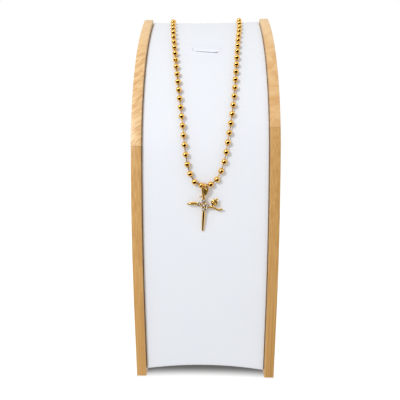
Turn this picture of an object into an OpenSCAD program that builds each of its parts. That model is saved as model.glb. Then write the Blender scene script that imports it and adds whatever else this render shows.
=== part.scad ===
// Gold ball-chain necklace with a small cross pendant, hung over a plain display stand:
// two curved wooden side panels with a padded leatherette board between them.
// Millimetres, +Z up, the front faces -Y, and the stand's feet rest on Z = 0.

/* [Stand] */
// Width over the two side panels
stand_w = 80; // [76:1:90]
// Depth of a side panel at its foot
foot_d = 78; // [74:1:90]
// Thickness of a side panel
panel_t = 5.5; // [5:0.5:7]
// Depth of a side panel across its top end
panel_top_d = 14; // [12:1:18]

/* [Front curve] */
// Height of the upright stretch above the foot
upright_h = 36; // [30:1:40]
// Radius of the long shallow bend
long_r = 575; // [550:5:600]
// Angle of the long shallow bend
long_a = 9.2; // [8.5:0.1:10]
// Radius of the bend at the top
top_r = 126; // [120:1:132]
// Length of the front edge from the foot to the top end
front_l = 232.8; // [228:0.2:236]

/* [Padded board] */
// Thickness of the board with its padding
board_t = 8; // [7:0.5:9]
// Depth of the board's front behind the panels' front edge
recess = 2; // [1.5:0.1:2.5]
// Radius of the padded side edges
side_r = 2.5; // [2:0.5:4]
// Rise of the arch at each end of the board
arch_h = 2.8; // [1:0.2:4]
// Height of the middle of the bottom end above the floor
board_foot = 5.5; // [5:0.5:8]
// Length of the slot
slot_l = 15.5; // [12:0.5:18]
// Width of the slot
slot_w = 3.3; // [3:0.1:3.8]

/* [Chain] */
// Diameter of a ball
ball_d = 3.2; // [3:0.05:3.25]
// Distance from ball to ball with the pin drawn out
pitch = 5.25; // [5.2:0.01:5.3]
// Number of balls on each side of the cross
balls_per_side = 43; // [41:1:45]
// Wall of a ball
ball_wall = 0.22; // [0.2:0.01:0.25]
// Diameter of a pin
pin_d = 0.65; // [0.6:0.05:0.7]

/* [Cross] */
// Diameter of the wire of the jump ring
ring_wire = 0.5; // [0.45:0.05:0.6]
// Diameter of a stone
stone_d = 1.45; // [1.4:0.01:1.5]
// Side of the square collet round a stone
collet_side = 2; // [1.98:0.01:2.1]

/* [Hidden] */

// Clearance between neighbouring pieces
gap = 0.12;

// The front curve: an upright line, a long shallow arc and a tighter arc, all tangent.
// s is the length along the front edge from the floor, d is the depth behind it.
long_l = long_r * long_a * PI / 180;
knee_y = long_r * (1 - cos(long_a));
knee_z = upright_h + long_r * sin(long_a);

// Lean of the front at s, in degrees from upright
function lean(s) =
    s < upright_h ? 0
    : s < upright_h + long_l ? (s - upright_h) / long_r * 180 / PI
    : long_a + (s - upright_h - long_l) / top_r * 180 / PI;

// Point of the front edge at s, as [y, z] with y = 0 at the front of the feet
function edge(s) =
    s < upright_h ? [0, s]
    : s < upright_h + long_l
        ? [long_r * (1 - cos(lean(s))), upright_h + long_r * sin(lean(s))]
        : [knee_y + top_r * (cos(long_a) - cos(lean(s))),
           knee_z + top_r * (sin(lean(s)) - sin(long_a))];

// The same point moved d inwards, at a right angle to the curve
function behind(s, d) = edge(s) + d * [cos(lean(s)), -sin(lean(s))];

function place(x, s, d) = [x, behind(s, d)[0], behind(s, d)[1]];

// Side panels. The outline follows the curve, is cut square at the top end and runs straight
// from there to the back of the foot.
curve_step = 4;
curve_s = [for (i = [0 : floor((front_l - upright_h) / curve_step)]) upright_h + i * curve_step];
panel_outline = concat([[0, 0]], [for (s = curve_s) edge(s)],
                       [edge(front_l), behind(front_l, panel_top_d), [foot_d, 0]]);

module side_panel(x) {
    color("#dcb174")
        translate([x, -foot_d / 2, 0])
            rotate([90, 0, 90])
                linear_extrude(panel_t)
                    polygon(panel_outline);
}

module side_panel_left() { side_panel(-stand_w / 2); }
module side_panel_right() { side_panel(stand_w / 2 - panel_t); }

// Padded board. It is lofted across its width through closed side sections. Near the side
// edges the padding thins out on a quarter circle, and each end of a section is a half circle.
board_half = stand_w / 2 - panel_t - 0.1;
flat_half = board_half - side_r;
flat_steps = 8;
round_steps = 4;
face_steps = 40;
end_steps = 8;

function side_x(i) = flat_half + side_r * sin(90 * i / round_steps);
function side_drop(i) = side_r * (1 - cos(90 * i / round_steps));

stations = concat(
    [for (i = [round_steps : -1 : 1]) [-side_x(i), side_drop(i)]],
    [for (i = [0 : flat_steps]) [flat_half * (2 * i / flat_steps - 1), 0]],
    [for (i = [1 : round_steps]) [side_x(i), side_drop(i)]]);

function arch(x) = arch_h * pow(x / board_half, 2);
function board_low(x) = board_foot - arch(x);
function board_high(x) = front_l + arch(x) * 0.9;

function section(x, drop) =
    let (t = board_t - drop, r = t / 2, mid = recess + drop + r,
         s0 = board_low(x) + r, s1 = board_high(x) - r)
    concat(
        [for (i = [0 : face_steps]) place(x, s0 + (s1 - s0) * i / face_steps, mid - r)],
        [for (i = [1 : end_steps - 1])
            let (a = 180 * i / end_steps, c = behind(s1, mid), l = lean(s1))
            [x, c[0] - r * cos(a) * cos(l) + r * sin(a) * sin(l),
                c[1] + r * cos(a) * sin(l) + r * sin(a) * cos(l)]],
        [for (i = [face_steps : -1 : 0]) place(x, s0 + (s1 - s0) * i / face_steps, mid + r)],
        [for (i = [1 : end_steps - 1])
            let (a = 180 * i / end_steps, c = behind(s0, mid))
            [x, c[0] + r * cos(a), c[1] - r * sin(a)]]);

// A flat side of the board, from the points of its section in order
function side_faces(n) =
    let (back = face_steps + end_steps)
    concat(
        [for (i = [0 : face_steps - 1])
            [i, i + 1, back + face_steps - i - 1, back + face_steps - i]],
        [[for (k = [face_steps : back]) k]],
        [[for (k = [back + face_steps : n - 1]) k, 0]]);
function reversed(list) = [for (i = [len(list) - 1 : -1 : 0]) list[i]];

module board_body() {
    rows = [for (p = stations) section(p[0], p[1])];
    n = len(rows[0]);
    last = len(rows) - 1;
    polyhedron(
        points = [for (row = rows) each row],
        faces = concat(
            side_faces(n),
            [for (f = side_faces(n)) reversed([for (k = f) last * n + k])],
            [for (j = [0 : last - 1], k = [0 : n - 1])
                let (m = (k + 1) % n) [j * n + k, j * n + n + k, j * n + n + m]],
            [for (j = [0 : last - 1], k = [0 : n - 1])
                let (m = (k + 1) % n) [j * n + k, j * n + n + m, j * n + m]]));
}

// The slot lies across the board near the top, its right end a little lower.
slot_x = -0.2;
slot_s = 196.6;
slot_tilt = 7.4;

module slot_cut() {
    translate(place(slot_x, slot_s, recess + board_t / 2))
        rotate([-lean(slot_s), 0, 0])
            rotate([0, slot_tilt, 0])
                rotate([90, 0, 0])
                    linear_extrude(2 * board_t, center = true)
                        union() {
                            square([slot_l - slot_w, slot_w], center = true);
                            for (side = [-1, 1])
                                translate([side * (slot_l - slot_w) / 2, 0])
                                    circle(d = slot_w, $fn = 32);
                        }
}

module padded_board() {
    color("#f2f4f6")
        translate([0, -foot_d / 2, 0])
            difference() {
                board_body();
                slot_cut();
            }
}

// Route of the chain. Each side starts at the middle of the pin above the cross, climbs the
// front of the board through points given as [x, s], goes over the rounded top end and hangs
// behind the board in a catenary down to the coupling.
ride_h = ball_d / 2 + 0.15;
ride_d = recess - ride_h;
end_r = board_t / 2;

route_left = [
    [0.5, 112.6], [-2.0, 112.6], [-5.6, 114.3], [-8.1, 118.7], [-9.6, 123.6], [-10.5, 128.9],
    [-11.7, 139.4], [-12.8, 150], [-14.1, 160.5], [-15.3, 171], [-16.6, 181.5], [-17.7, 192],
    [-18.8, 202], [-19.8, 212], [-20.6, 221.5], [-21.2, 229.5]];
route_right = [
    [0.5, 112.6], [2.9, 113.2], [6.4, 116], [8.6, 120.6], [10.2, 125.7], [11.2, 130.9],
    [12.8, 141.3], [14.4, 151.8], [15.6, 162.2], [16.5, 172.8], [17.3, 183.2], [18.2, 193.4],
    [19.1, 203.6], [20.2, 214], [20.9, 221.8], [21.2, 229.5]];

// The pins of the links nearest the cross are pushed a little into their balls
slack = [0, 1.05, 1.3, 1.35];
function ball_at(i) = (i + 0.5) * pitch - slack[min(i, len(slack) - 1)];

// A smooth curve through the points of a list
function smooth(p0, p1, p2, p3, t) =
    0.5 * (2 * p1 + (p2 - p0) * t + (2 * p0 - 5 * p1 + 4 * p2 - p3) * t * t
           + (3 * p1 - p0 - 3 * p2 + p3) * t * t * t);
function pick(list, i) = list[max(0, min(len(list) - 1, i))];
function smoothed(list, steps) = concat(
    [for (i = [0 : len(list) - 2], k = [0 : steps - 1])
        smooth(pick(list, i - 1), list[i], list[i + 1], pick(list, i + 2), k / steps)],
    [list[len(list) - 1]]);

// Length along a list of points up to each of them
function lengths(p, i = 0, sum = 0, out = []) =
    i == len(p) ? out
    : let (s = i == 0 ? 0 : sum + norm(p[i] - p[i - 1])) lengths(p, i + 1, s, concat(out, [s]));
function total(p) = lengths(p)[len(p) - 1];

// Scale of a catenary whose length on one side of its lowest point is l, over a half width
function catenary(l, half, lo = 0.5, hi = 60, n = 40) =
    let (a = (lo + hi) / 2, w = a * asinh(l / a))
    n == 0 ? a : w > half ? catenary(l, half, lo, a, n - 1) : catenary(l, half, a, hi, n - 1);
function asinh(v) = ln(v + sqrt(v * v + 1));

front_steps = 6;
wrap_steps = 12;
hang_steps = 60;

function front_path(route) = [for (p = smoothed(route, front_steps)) place(p[0], p[1], ride_d)];
function wrap_path(route) =
    let (top = route[len(route) - 1], c = behind(top[1], recess + end_r), l = lean(top[1]))
    [for (i = [1 : wrap_steps])
        let (a = (180 - l) * i / wrap_steps + l)
        [top[0], c[0] - (end_r + ride_h) * cos(a), c[1] + (end_r + ride_h) * sin(a)]];
function hang_path(route) =
    let (top = route[len(route) - 1], side = sign(top[0]),
         c = behind(top[1], recess + end_r), half = abs(top[0]) - pitch / 2,
         a = catenary(hang_l, half), drop = sqrt(a * a + hang_l * hang_l) - a)
    [for (i = [hang_steps - 1 : -1 : 0])
        let (t = hang_l * i / hang_steps)
        [side * (pitch / 2 + a * asinh(t / a)), c[0] + end_r + ride_h,
         c[1] - drop + sqrt(a * a + t * t) - a]];

// Both sides hang down by the same length, so the coupling lies level
over_left = concat(front_path(route_left), wrap_path(route_left));
over_right = concat(front_path(route_right), wrap_path(route_right));
hang_l = ball_at(balls_per_side - 1) - (total(over_left) + total(over_right)) / 2;

// Balls at their distances along a path. From the last ball on the front onwards the
// distances are evened out so that the last ball lies at the end of the path.
last_front = 23;
function balls(path) =
    let (l = lengths(path), n = len(path) - 1,
         spare = l[n] - ball_at(balls_per_side - 1), hidden = balls_per_side - 1 - last_front,
         along = [for (axis = [0 : 2]) [for (i = [0 : n]) [l[i], path[i][axis]]]])
    [for (i = [0 : balls_per_side - 1])
        let (s = ball_at(i) + spare * max(0, i - last_front) / hidden)
        [for (axis = [0 : 2]) lookup(s, along[axis])]];

left_balls = balls(concat(over_left, hang_path(route_left)));
right_balls = balls(concat(over_right, hang_path(route_right)));
chain = concat([for (i = [balls_per_side - 1 : -1 : 0]) left_balls[i]], right_balls);
count = len(chain);

// Turns +Z towards a direction
module aim(v) {
    rotate([0, acos(v[2] / norm(v)), atan2(v[1], v[0])])
        children();
}

hole_d = pin_d + 2 * gap + 0.06;
head_d = hole_d + 0.26;
head_h = 0.3;
head_out = ball_d / 2 - ball_wall - 0.4;

// A hollow ball with a hole towards each neighbour
hole_from = 0.8;

module ball(i) {
    before = chain[max(0, i - 1)];
    after = chain[min(count - 1, i + 1)];
    translate(chain[i])
        difference() {
            aim(after - before)
                rotate([90, 0, 0])
                    difference() {
                        sphere(d = ball_d, $fn = 24);
                        sphere(d = ball_d - 2 * ball_wall, $fn = 24);
                    }
            for (k = [i - 1, i + 1])
                if (k >= 0 && k < count)
                    aim(chain[k] - chain[i])
                        translate([0, 0, hole_from])
                            cylinder(d = hole_d, h = ball_d / 2, $fn = 16);
        }
}

module chain_beads() {
    color("#e0b24a")
        translate([0, -foot_d / 2, 0])
            for (i = [0 : count - 1])
                ball(i);
}

// A pin with a head inside each of its two balls
module pin(i) {
    way = chain[i + 1] - chain[i];
    reach = pitch / 2 - head_out;
    translate((chain[i] + chain[i + 1]) / 2)
        aim(way)
            union() {
                cylinder(d = pin_d, h = 2 * reach, center = true, $fn = 16);
                for (end = [-1, 1])
                    translate([0, 0, end * (reach + head_h / 2 - 0.05)])
                        cylinder(d = head_d, h = head_h, center = true, $fn = 16);
            }
}

module chain_pins() {
    color("#d3a440")
        translate([0, -foot_d / 2, 0])
            for (i = [0 : count - 2])
                pin(i);
}

// Coupling: a barrel round the two end balls, with a slot down its back for the pins
coupling_wall = 0.3;
coupling_bore = ball_d + 2 * 0.15;
coupling_d = coupling_bore + 2 * coupling_wall;
coupling_l = pitch + ball_d + 2 * (0.15 + coupling_wall);
coupling_mouth = 2.9;

module chain_coupling() {
    ends = chain[count - 1] - chain[0];
    color("#d3a440")
        translate([0, -foot_d / 2, 0])
            translate((chain[0] + chain[count - 1]) / 2)
                aim(ends)
                    difference() {
                        cylinder(d = coupling_d, h = coupling_l, center = true, $fn = 40);
                        cylinder(d = coupling_bore, h = coupling_l - 2 * coupling_wall,
                                 center = true, $fn = 40);
                        cylinder(d = coupling_mouth, h = 2 * coupling_l, center = true, $fn = 32);
                        translate([0, coupling_d / 2, 0])
                            cube([pin_d + 0.3, coupling_d, 2 * coupling_l], center = true);
                    }
}

// Cross. Its own frame has the centre stone at the origin, x to the right, z up and y towards
// the board. It hangs plumb, with its foot against the board.
cross_x = -0.85;
cross_z = 101.72;
foot_reach = 13.7;
foot_clear = 0.75;

// Depth of the board's front at a height
function front_y(z, lo = 0, hi = 232, n = 30) =
    let (m = (lo + hi) / 2, p = behind(m, recess))
    n == 0 ? p[0] : p[1] > z ? front_y(z, lo, m, n - 1) : front_y(z, m, hi, n - 1);
cross_y = front_y(cross_z - foot_reach) - foot_clear;

module at_cross() {
    translate([cross_x, cross_y - foot_d / 2, cross_z])
        children();
}

// Columns of every stroke: x, y, z, radius of the wire
foot_stroke = [
    [0.05, 0.10, -3.45, 0.72],
    [-0.03, 0, -5.0, 0.80],
    [-0.20, 0, -8.0, 0.78],
    [-0.36, 0, -11.0, 0.69],
    [-0.48, 0, -foot_reach, 0.55]];
loop_wire = 0.54;
loop_top = [0.85, -0.2, 10.9];
loop_stroke = [
    [0.05, 0.10, 3.9, 0.74],
    [-0.12, 0, 5.2, 0.70],
    [-0.42, 0, 6.8, 0.64],
    [-0.60, -0.04, 8.3, 0.6],
    [-0.50, -0.24, 9.7, loop_wire],
    [-0.02, -0.28, 10.6, loop_wire],
    [loop_top[0], loop_top[1], loop_top[2], loop_wire],
    [1.68, -0.16, 10.6, loop_wire],
    [2.14, -0.1, 9.5, 0.52],
    [2.02, 0, 7.9, 0.5],
    [1.45, 0.25, 6.4, 0.46],
    [0.45, 0.62, 5.45, 0.43],
    [-0.60, 0.68, 5.05, 0.4],
    [-1.45, 0.40, 4.8, 0.36],
    [-2.05, 0.20, 4.5, 0.3]];
left_stroke = [
    [-3.15, 0.13, 0.96, 0.62],
    [-4.2, 0.05, 1.12, 0.82],
    [-5.5, 0, 1.2, 0.92],
    [-7.1, 0, 1.08, 0.78],
    [-8.5, 0, 0.82, 0.45]];
right_stroke = [
    [2.9, 0.10, -0.6, 0.62],
    [3.8, 0, -0.88, 0.68],
    [4.9, 0, -0.98, 0.62],
    [6.2, 0, -1.5, 0.6],
    [7.4, 0, -2.1, 0.6],
    [8.7, 0, -2.25, 0.6],
    [9.75, 0, -2.0, 0.55]];

// Scroll: a coil that rises from the right arm, goes once round and winds in to its centre
scroll_x = 5.763;
scroll_z = 1.724;
scroll_r = 1.374;
scroll_wire = 0.5;
scroll_start = 228.7;
scroll_step = 20;
coil_turn = 300;
curl_turn = 460;
function scroll_radius(a) = a < coil_turn ? scroll_r : scroll_r - (a - coil_turn) / 190;
function scroll_point(a) =
    let (r = scroll_radius(a))
    [scroll_x + r * cos(scroll_start - a), -0.25 * a / curl_turn,
     scroll_z + r * sin(scroll_start - a), scroll_wire - 0.16 * a / curl_turn];
scroll_stroke = concat([[4.55, 0.07, -0.62, scroll_wire]],
                       [for (a = [0 : scroll_step : curl_turn]) scroll_point(a)]);

// Columns: x, z of each stone
stone_at = [[0, 2.5], [-2.43, 0.9], [0, 0], [1.97, -0.36], [0.08, -1.95]];
girdle_y = -0.5;

// The bars behind the stones: one upright, and a thinner one across it
upright_bar = [for (i = [0, 2, 4]) [stone_at[i][0], 0.12, stone_at[i][1], 0.62]];
cross_bar = [for (i = [1, 2, 3]) [stone_at[i][0], -0.03, stone_at[i][1], 0.53]];

// A stroke is swept as rings round its line, with a round end of three rings at either end
stroke_sides = 12;
end_angles = [15, 40, 65];

function unit(v) = v / norm(v);
function spot(p) = [p[0], p[1], p[2]];
function tangent(line, i) = unit(spot(pick(line, i + 1)) - spot(pick(line, i - 1)));
function ring(c, t, r) =
    let (u = unit(cross(t, [0, 1, 0])), v = cross(u, t))
    [for (k = [0 : stroke_sides - 1])
        let (a = 360 * (k + 0.5) / stroke_sides) c + r * cos(a) * u + r * sin(a) * v];

function stroke_rings(line) =
    let (n = len(line) - 1, t0 = tangent(line, 0), t1 = tangent(line, n))
    concat(
        [for (a = end_angles)
            ring(spot(line[0]) - line[0][3] * cos(a) * t0, t0, line[0][3] * sin(a))],
        [for (i = [0 : n]) ring(spot(line[i]), tangent(line, i), line[i][3])],
        [for (a = reversed(end_angles))
            ring(spot(line[n]) + line[n][3] * cos(a) * t1, t1, line[n][3] * sin(a))]);

module tube(rings) {
    n = stroke_sides;
    last = len(rings) - 1;
    polyhedron(
        points = [for (r = rings) each r],
        faces = concat(
            [[for (k = [n - 1 : -1 : 0]) k]],
            [[for (k = [0 : n - 1]) last * n + k]],
            [for (j = [0 : last - 1], k = [0 : n - 1])
                let (m = (k + 1) % n) [j * n + k, j * n + n + m, j * n + n + k]],
            [for (j = [0 : last - 1], k = [0 : n - 1])
                let (m = (k + 1) % n) [j * n + k, j * n + m, j * n + n + m]]));
}

module stroke(points, steps) {
    tube(stroke_rings(smoothed(points, steps)));
}

// A stroke that runs across itself is made in two lengths that share the ring at the cut
module crossing_stroke(points, steps, cut) {
    rings = stroke_rings(smoothed(points, steps));
    tube([for (i = [0 : cut]) rings[i]]);
    tube([for (i = [cut : len(rings) - 1]) rings[i]]);
}

// Turns +Z to face out of the cross, towards the front
module facing(p) {
    translate([p[0], girdle_y, p[1]])
        rotate([90, 0, 0])
            children();
}

stone_r = stone_d / 2;
girdle_h = 0.08;
crown_h = 0.28;
pavilion_h = 0.48;
seat_r = stone_r + gap;
collet_up = 0.22;
collet_down = 1.15;
collet_round = 0.35;
collet_taper = 0.12;

// A square cup with round corners, a little narrower at its back
module collet() {
    corner = collet_side / 2 - collet_round;
    hull()
        for (x = [-corner, corner], y = [-corner, corner])
            translate([x, y, -collet_down])
                cylinder(r1 = collet_round - collet_taper, r2 = collet_round,
                         h = collet_down + collet_up, $fn = 12);
}

// Room for a stone: straight round its girdle, a cone under it
module seat() {
    translate([0, 0, -girdle_h - gap])
        rotate_extrude($fn = 18)
            polygon([[0, -pavilion_h], [0.16, -pavilion_h], [seat_r, 0], [seat_r, 2], [0, 2]]);
}

// Four grains that hold a stone, raised from the corners of its collet
grain_r = 0.18;

module grains() {
    for (a = [45 : 90 : 315])
        rotate([0, 0, a])
            translate([seat_r + grain_r - 0.01, 0, 0])
                hull() {
                    translate([0, 0, -0.1])
                        cylinder(r = grain_r, h = 0.1, $fn = 8);
                    translate([0, 0, collet_up + 0.06])
                        cylinder(r = grain_r, h = 0.04, $fn = 8);
                    translate([0, 0, collet_up + 0.16])
                        cylinder(r = 0.6 * grain_r, h = 0.04, $fn = 8);
                }
}

module cross() {
    color("#e0b24a")
        at_cross() {
            difference() {
                union() {
                    stroke(foot_stroke, 3);
                    crossing_stroke(loop_stroke, 3, 24);
                    stroke(left_stroke, 3);
                    stroke(right_stroke, 3);
                    crossing_stroke(scroll_stroke, 1, 16);
                    stroke(upright_bar, 3);
                    stroke(cross_bar, 3);
                    translate([7.1, 0, 3.5])
                        sphere(r = 0.6, $fn = 16);
                    translate([scroll_x, -0.25, scroll_z])
                        sphere(r = 0.4, $fn = 14);
                    for (p = stone_at)
                        facing(p)
                            collet();
                }
                for (p = stone_at)
                    facing(p)
                        seat();
            }
            for (p = stone_at)
                facing(p)
                    grains();
        }
}

// Jump ring: an oval that goes round the middle pin of the chain and the top of the loop,
// upright along the line between the two.
ring_x = 0.25;
pin_at = let (a = left_balls[0], b = right_balls[0], t = (ring_x - a[0]) / (b[0] - a[0]))
    a + (b - a) * t;
loop_at = [cross_x + loop_top[0], cross_y + loop_top[1], cross_z + loop_top[2]];
ring_r = loop_wire + gap + ring_wire / 2;
ring_from = loop_wire - pin_d / 2;
ring_to = norm(loop_at - pin_at);

module ring_end(turn) {
    rotate([turn, 0, 0])
        rotate_extrude(angle = 180, $fn = 48)
            translate([ring_r, 0])
                circle(d = ring_wire, $fn = 20);
}

module jump_ring() {
    color("#e0b24a")
        translate([0, -foot_d / 2, 0])
            translate(pin_at)
                aim(loop_at - pin_at)
                    union() {
                        translate([0, 0, ring_from])
                            ring_end(-90);
                        translate([0, 0, ring_to])
                            ring_end(90);
                        for (side = [-1, 1])
                            translate([side * ring_r, 0, ring_from])
                                cylinder(d = ring_wire, h = ring_to - ring_from, $fn = 20);
                    }
}

// Round brilliant: a table, a crown, a girdle and a pavilion
module stone(p) {
    color("#eef3f8")
        at_cross()
            facing(p)
                hull() {
                    translate([0, 0, crown_h - 0.01])
                        cylinder(r = stone_r * 0.58, h = 0.01, $fn = 8);
                    translate([0, 0, -girdle_h])
                        cylinder(r = stone_r, h = girdle_h, $fn = 16);
                    translate([0, 0, -girdle_h - pavilion_h])
                        cylinder(r = 0.03, h = 0.01, $fn = 8);
                }
}

module stone_top() { stone(stone_at[0]); }
module stone_left() { stone(stone_at[1]); }
module stone_centre() { stone(stone_at[2]); }
module stone_right() { stone(stone_at[3]); }
module stone_bottom() { stone(stone_at[4]); }

side_panel_left();
side_panel_right();
padded_board();
chain_beads();
chain_pins();
chain_coupling();
jump_ring();
cross();
stone_top();
stone_left();
stone_centre();
stone_right();
stone_bottom();
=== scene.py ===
import math

import bmesh
import bpy
from mathutils import Matrix, Vector


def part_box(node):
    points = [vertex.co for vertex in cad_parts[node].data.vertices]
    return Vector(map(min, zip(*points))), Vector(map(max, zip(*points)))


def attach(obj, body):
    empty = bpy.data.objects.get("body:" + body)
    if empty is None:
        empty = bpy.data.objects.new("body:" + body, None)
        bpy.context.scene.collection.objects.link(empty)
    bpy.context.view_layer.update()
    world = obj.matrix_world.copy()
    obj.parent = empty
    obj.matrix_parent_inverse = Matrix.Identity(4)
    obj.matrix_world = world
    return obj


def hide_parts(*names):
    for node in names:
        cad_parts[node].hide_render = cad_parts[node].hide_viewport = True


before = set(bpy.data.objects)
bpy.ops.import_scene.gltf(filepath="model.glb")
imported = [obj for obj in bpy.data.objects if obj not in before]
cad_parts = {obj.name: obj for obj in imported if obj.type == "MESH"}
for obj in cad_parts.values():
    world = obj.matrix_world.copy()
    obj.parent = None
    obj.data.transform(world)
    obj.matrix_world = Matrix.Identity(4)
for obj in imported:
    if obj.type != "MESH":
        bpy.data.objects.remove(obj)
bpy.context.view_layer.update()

# All sizes are in millimetres. s is the length along the front edge of the stand from the
# floor, and a depth is measured from that edge inwards, at a right angle to it. Colours of
# three whole numbers are as a screen shows them, and the others are linear.

# Side panels
# Two boards of light bamboo, sawn to one curve, with the edges sanded round and a thin lacquer.
# Each is glued up from an upper and a lower length, so the grain changes at a joint.
MM = 0.001
stand_width = 80
foot_depth = 78
panel_thickness = 5.5
panel_inner = stand_width / 2 - panel_thickness
panel_top_depth = 14
panel_edge_round = 0.3
upright_height = 36
long_radius = 575
long_turn = math.radians(9.2)
long_steps = 24
top_radius = 126
top_steps = 40
front_length = 232.8
long_length = long_radius * long_turn
top_turn = (front_length - upright_height - long_length) / top_radius
knee_depth = long_radius * (1 - math.cos(long_turn))
knee_height = upright_height + long_radius * math.sin(long_turn)
long_centre = (long_radius, upright_height)
top_centre = (knee_depth + top_radius * math.cos(long_turn),
              knee_height - top_radius * math.sin(long_turn))

upper_pale, upper_deep = (246, 211, 159), (218, 168, 106)
# The last of these is painted shade for the gap between a panel and the board.
pore_brown, joint_brown, gap_shade_brown = (176, 120, 62), (160, 108, 58), (52, 34, 20)

# How close the marks of the grain stand, per millimetre across, into and up the panel. How
# close the waves stand on the way up differs between the panels.
streaks_per_mm = (3.2, 1.3, 0.022)
fibres_per_mm = (9.0, 5.0, 0.16)
flecks_per_mm = (3.4, 0.9, 0.55)
pores_per_mm = (14, 9, 0.5)
waves_per_mm = (0.11, 0.05)
fleck_lean = math.radians(12)

# Where marks start or end, as a band of heights above the joint.
joint_blur = 0.15
joint_line = (0.05, 0.30)
flecks_start, flecks_end = (2, 8), (24, 34)
waves_calm = (50, 68)
plain_end = (10, 60)

# Painted shade for the gap where the board meets a panel darkens the inner face, and ends at the
# edge's round, as a band of distances from the middle.
gap_shade_end = (panel_inner - 0.15, panel_inner + 0.10)


def lean(s):
    """Lean of the front at s, from upright."""
    if s < upright_height:
        return 0.0
    if s < upright_height + long_length:
        return (s - upright_height) / long_radius
    return long_turn + (s - upright_height - long_length) / top_radius


def front_point(s, depth=0.0):
    """Place of a point at s on the front, moved inwards by a depth, as (y, z)."""
    turn = lean(s)
    if s < upright_height:
        y, z = 0.0, s
    else:
        radius, (cy, cz) = ((long_radius, long_centre) if turn < long_turn
                            else (top_radius, top_centre))
        y, z = cy - radius * math.cos(turn), cz + radius * math.sin(turn)
    return y + depth * math.cos(turn), z - depth * math.sin(turn)


def points_in(made):
    """The points among the things that an operator made."""
    return [v for v in made if isinstance(v, bmesh.types.BMVert)]


def extrude_point(bm, vert, place):
    """Extrudes a point to a new place and gives the new point."""
    new = bmesh.ops.extrude_vert_indiv(bm, verts=[vert])["verts"][0]
    new.co = place
    return new


def spin_point(bm, vert, centre, turn, steps):
    """Spins a point about a level axis and gives the last point of the arc."""
    arc = bmesh.ops.spin(bm, geom=[vert], cent=(vert.co.x, *centre), axis=(-1, 0, 0),
                         angle=turn, steps=steps, use_merge=False, use_duplicate=False)
    return points_in(arc["geom_last"])[0]


class Value:
    """A number or colour that changes over a surface. Arithmetic on it adds Math nodes."""

    def __init__(self, paint, socket):
        self.paint, self.socket = paint, socket

    def math(self, operation, *values):
        return self.paint.node("ShaderNodeMath", {"operation": operation},
                               dict(enumerate(values)))

    def __add__(self, other):
        return self.math("ADD", self, other)

    def __sub__(self, other):
        return self.math("SUBTRACT", self, other)

    def __rsub__(self, other):
        return self.math("SUBTRACT", other, self)

    def __mul__(self, other):
        return self.math("MULTIPLY", self, other)

    def __truediv__(self, other):
        return self.math("DIVIDE", self, other)

    def __pow__(self, other):
        return self.math("POWER", self, other)

    __radd__, __rmul__ = __add__, __mul__

    def __abs__(self):
        return self.math("ABSOLUTE", self)

    def max(self, other):
        return self.math("MAXIMUM", self, other)

    def part(self, axis):
        """One axis of a vector."""
        return self.paint.node("ShaderNodeSeparateXYZ", {}, {"Vector": self}, axis)

    def between(self, low, high):
        """0 up to low, 1 from high on, and smooth in between."""
        return self.paint.node("ShaderNodeMapRange", {"interpolation_type": "SMOOTHSTEP"},
                               {"Value": self, "From Min": low, "From Max": high})


class Paint:
    """The nodes of one material, or of the world, up to its main shader."""

    def __init__(self, owner, shader="Principled BSDF"):
        owner.use_nodes = True
        self.owner, self.tree = owner, owner.node_tree
        self.shader = self.tree.nodes[shader]

    def node(self, kind, settings, inputs, output=0):
        """Adds a node: its settings, then the values or links of its sockets."""
        made = self.tree.nodes.new(kind)
        for key, value in settings.items():
            setattr(made, key, value)
        for key, value in inputs.items():
            self.feed(made.inputs[key], value)
        return Value(self, made.outputs[output])

    def feed(self, socket, value):
        if isinstance(value, Value):
            self.tree.links.new(value.socket, socket)
        else:
            socket.default_value = value

    def set(self, **sockets):
        """Feeds the main shader and gives the material or world."""
        for name, value in sockets.items():
            self.feed(self.shader.inputs[name.replace("_", " ")], value)
        return self.owner

    def place(self, turn=(0, 0, 0), scale=(1, 1, 1), move=(0, 0, 0)):
        """Object coordinates in millimetres, turned, then stretched and moved."""
        spot = self.node("ShaderNodeTexCoord", {}, {}, "Object")
        spot = self.node("ShaderNodeMapping", {"vector_type": "POINT"},
                         {"Vector": spot, "Rotation": turn, "Scale": (1 / MM, 1 / MM, 1 / MM)})
        return self.node("ShaderNodeMapping", {"vector_type": "POINT"},
                         {"Vector": spot, "Location": move, "Scale": scale})

    def noise(self, place, scale=1.0, detail=2.0, roughness=0.5, distortion=0.0):
        return self.node("ShaderNodeTexNoise", {}, {
            "Vector": place, "Scale": scale, "Detail": detail, "Roughness": roughness,
            "Distortion": distortion})

    def mix(self, factor, a, b):
        """A colour between a and b."""
        return self.node("ShaderNodeMix", {"data_type": "RGBA", "clamp_factor": True},
                         {0: factor, 6: a, 7: b}, 2)

    def bump(self, height, strength, distance):
        return self.node("ShaderNodeBump", {}, {
            "Height": height, "Strength": strength, "Distance": distance})


def colour(red, green, blue):
    """A colour as a screen shows it, made linear."""
    return tuple((c / 255 / 12.92 if c < 10.3 else ((c / 255 + 0.055) / 1.055) ** 2.4)
                 for c in (red, green, blue)) + (1.0,)


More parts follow.
